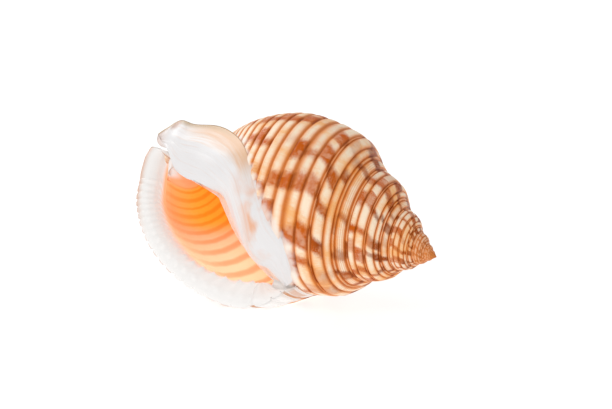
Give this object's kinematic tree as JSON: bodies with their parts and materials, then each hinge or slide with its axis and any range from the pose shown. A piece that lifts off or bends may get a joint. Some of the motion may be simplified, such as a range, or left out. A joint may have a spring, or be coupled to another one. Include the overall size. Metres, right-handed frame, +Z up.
{
  "type": "bonnet shell",
  "caption": "Empty coiled sea shell with a low pointed spire, flat spiral cords, a thick rolled lip, a wide open mouth and a raised free shield beside it, lying mouth outward.",
  "frame": {"origin": "middle of the bounding box's bottom, on the surface that the shell lies on", "axes": "+X towards the tip of the spire, along the longest extent; +Z up; the mouth opens towards -Y"},
  "size_m": [0.0676, 0.0458, 0.0424],
  "materials": {
    "shell": "smooth, slightly glossy cream shell with brown grooves and patches, a white glossy lip and shield, and an orange inside"
  },
  "bodies": {
    "root": {"shell": "shell"}
  },
  "joints": []
}
